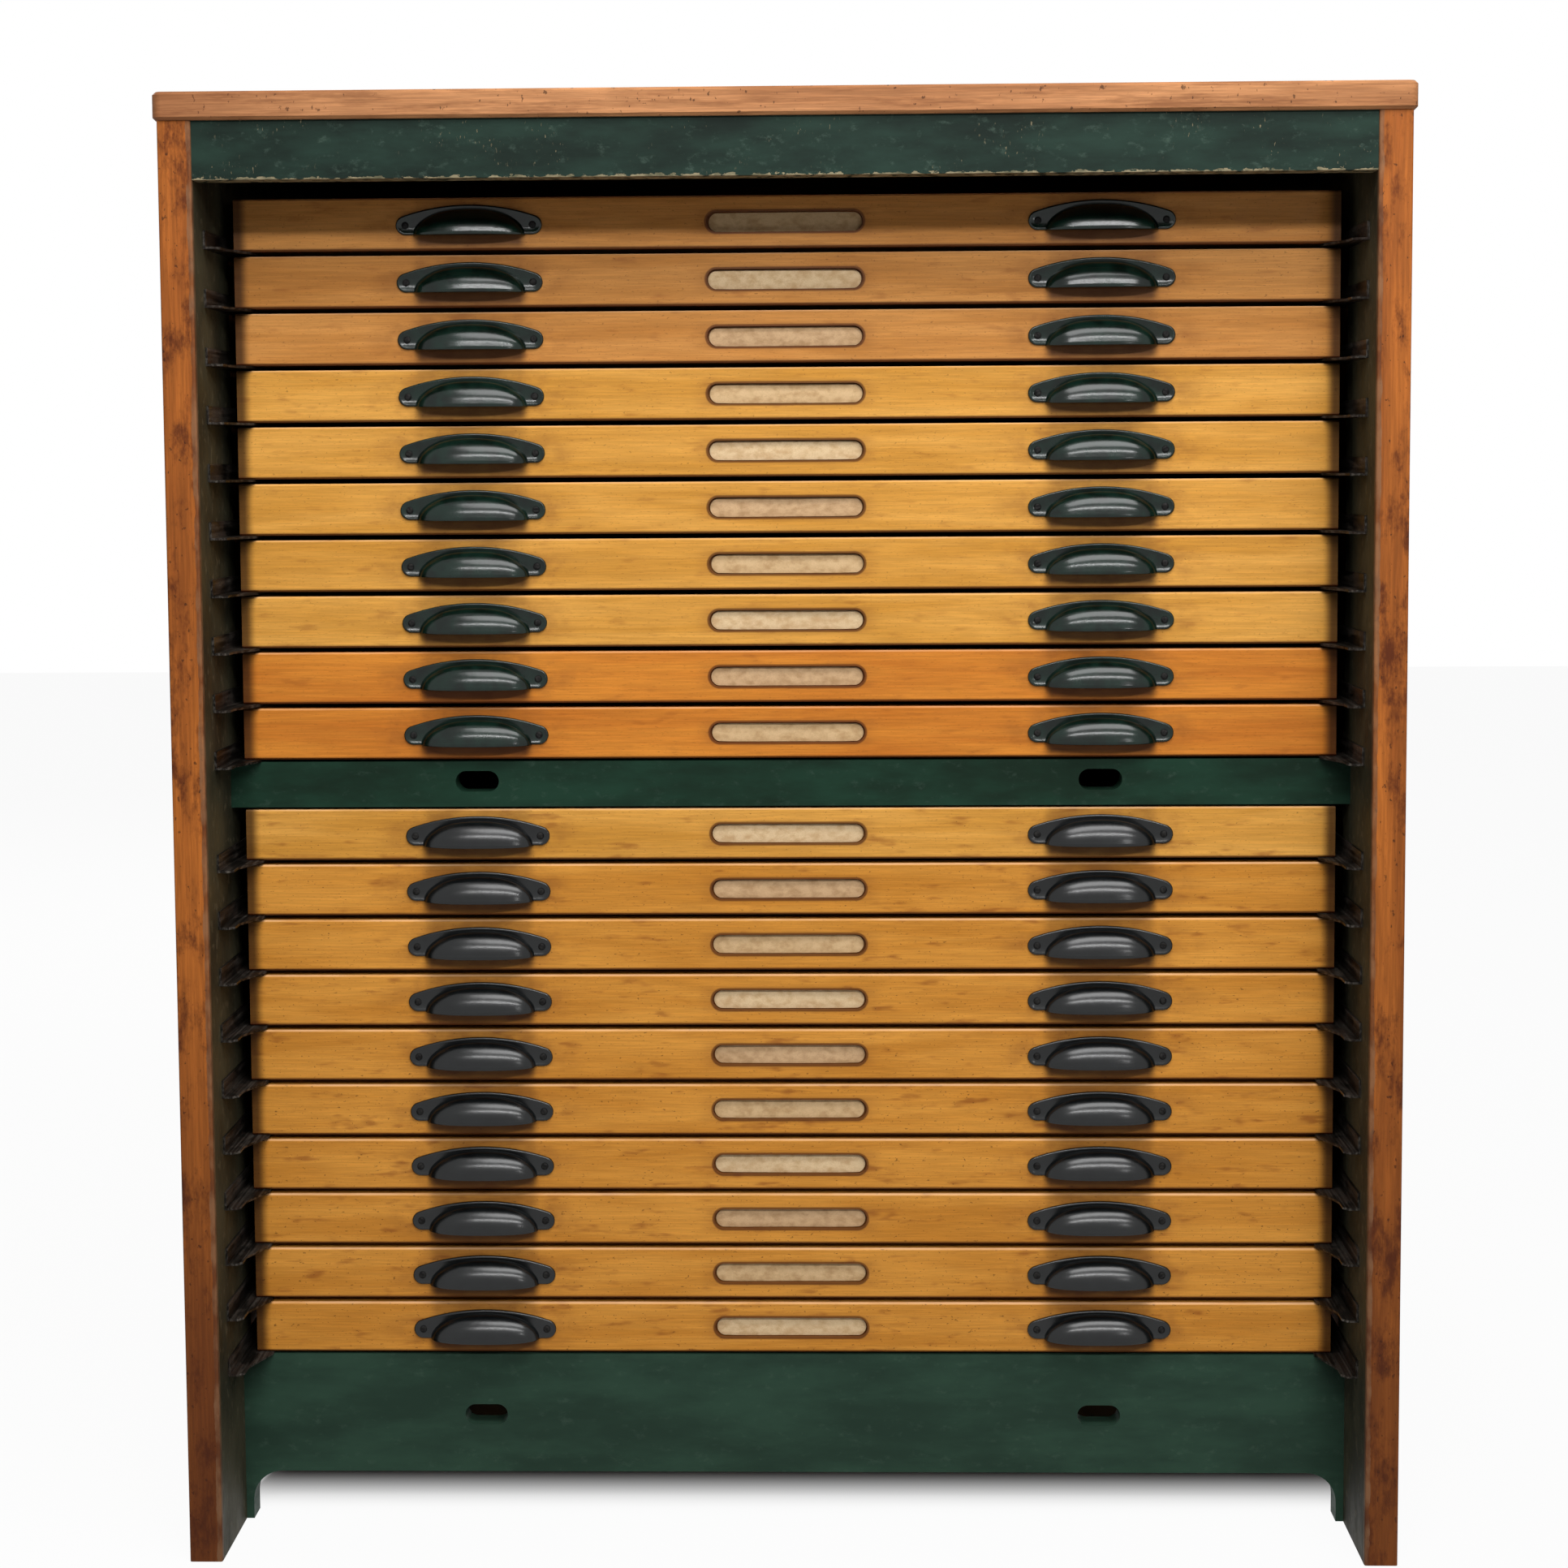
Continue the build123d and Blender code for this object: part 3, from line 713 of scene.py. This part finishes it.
def stage_white():
    """Pale matt floor paper that keeps the cabinet's shadow, mostly shown as plain white.

    Under the cabinet it stays plain matt, so that it is dark there: white's share is 0.93 only
    beyond 0.50 m to either side of x = 0, or 0.27 m before or behind y = 0.08 m.
    """
    material, tree = new_material("pale_floor_paper")
    matt = node(tree, "BsdfDiffuse", colour("b4b4b3"))
    plain = node(tree, "Emission", colour("ffffff"), 1.02)
    _, x, y, _ = object_axes(tree)
    past_side = node(tree, STEP, node(tree, "Math.ABSOLUTE", x), 0.50, 0.52)
    from_middle = node(tree, "Math.ABSOLUTE", node(tree, "Math.SUBTRACT", y, 0.08))
    outside = node(tree, "Math.MAXIMUM", past_side, node(tree, STEP, from_middle, 0.27, 0.36))
    outside = node(tree, "Math.MULTIPLY", outside, 0.93)
    share = node(tree, "Math.MULTIPLY", seen_white(tree), outside)
    node(tree, "OutputMaterial", node(tree, "MixShader", share, matt, plain))
    return material


floor_mesh = bpy.data.meshes.new("floor")
floor_mesh.from_pydata([(-9, -9, 0), (9, -9, 0), (9, 9, 0), (-9, 9, 0)], [], [(0, 1, 2, 3)])
floor_mesh.materials.append(stage_white())
floor = bpy.data.objects.new("floor", floor_mesh)
bpy.context.scene.collection.objects.link(floor)

world = bpy.data.worlds.new("plain_world")
bpy.context.scene.world = world
world.use_nodes = True
tree = world.node_tree
tree.nodes.clear()
ambient = node(tree, "Background", colour("f4f6f8"), 0.05)
backdrop = node(tree, "Background", colour("ffffff"), 1.0)
node(tree, "OutputWorld", node(tree, "MixShader", seen_white(tree), ambient, backdrop))


def area_lamp(name, place, target, width, height, power):
    """A rectangular lamp aimed at a point."""
    data = bpy.data.lights.new(name, "AREA")
    data.shape, data.size, data.size_y, data.energy = "RECTANGLE", width, height, power
    lamp = bpy.data.objects.new(name, data)
    lamp.location = place
    aim = Vector(target) - Vector(place)
    lamp.rotation_mode = "QUATERNION"
    lamp.rotation_quaternion = aim.to_track_quat("-Z", "Y")
    bpy.context.scene.collection.objects.link(lamp)


# A low, wide lamp in front draws the sharp shadow of the top rail and the lower streak on the
# pulls, and a high one draws the soft shadows under the pulls and their upper streak. A small
# lamp on the right sets the bright spot near the right end of each pull's lip. A lamp behind
# keeps the back and the top at the same plain level.
LAMPS = [
    ("low_front_lamp", (0.5, -3.3, 2.5), (0, -0.3, 0.8), 3.2, 0.18, 72),
    ("high_front_lamp", (0.4, -1.5, 2.75), (0, -0.3, 0.9), 2.4, 0.9, 57),
    ("small_right_lamp", (1.35, -2.8, 1.15), (0, -0.3, 0.6), 0.2, 0.2, 3.2),
    ("rear_lamp", (-1.6, 3.2, 2.7), (0, 0.3, 0.7), 2.6, 1.2, 95),
]
for lamp in LAMPS:
    area_lamp(*lamp)

# The camera stands where the photograph's did, by a fit of forty measured points: its lens
# is given by 3000 pixels in the photograph's 1932, and its shift keeps upright lines upright.
FOCAL, FRAME_PX, AXIS_Y = 3000.0, 1932.0, 780.0
SENSOR_MM = 36.0
CAMERA_PLACE = (0.0442, -2.4739, 0.9658)
pitch, yaw, roll = (math.radians(value) for value in (3.952, -1.237, -0.358))
forward = Vector((math.sin(yaw) * math.cos(pitch), math.cos(yaw) * math.cos(pitch),
                  -math.sin(pitch)))
right = Vector((math.cos(yaw), -math.sin(yaw), 0))
upward = right.cross(forward)
turned_right = math.cos(roll) * right + math.sin(roll) * upward
turned_up = math.cos(roll) * upward - math.sin(roll) * right
camera_data = bpy.data.cameras.new("camera")
camera_data.sensor_width = SENSOR_MM
camera_data.lens = FOCAL / FRAME_PX * SENSOR_MM
camera_data.shift_y = -(FRAME_PX / 2 - AXIS_Y) / FRAME_PX
camera = bpy.data.objects.new("camera", camera_data)
camera.matrix_world = Matrix.Translation(CAMERA_PLACE) @ Matrix(
    (turned_right, turned_up, -forward)).transposed().to_4x4()
bpy.context.scene.collection.objects.link(camera)
bpy.context.scene.camera = camera
bpy.context.scene.view_settings.view_transform = "Standard"
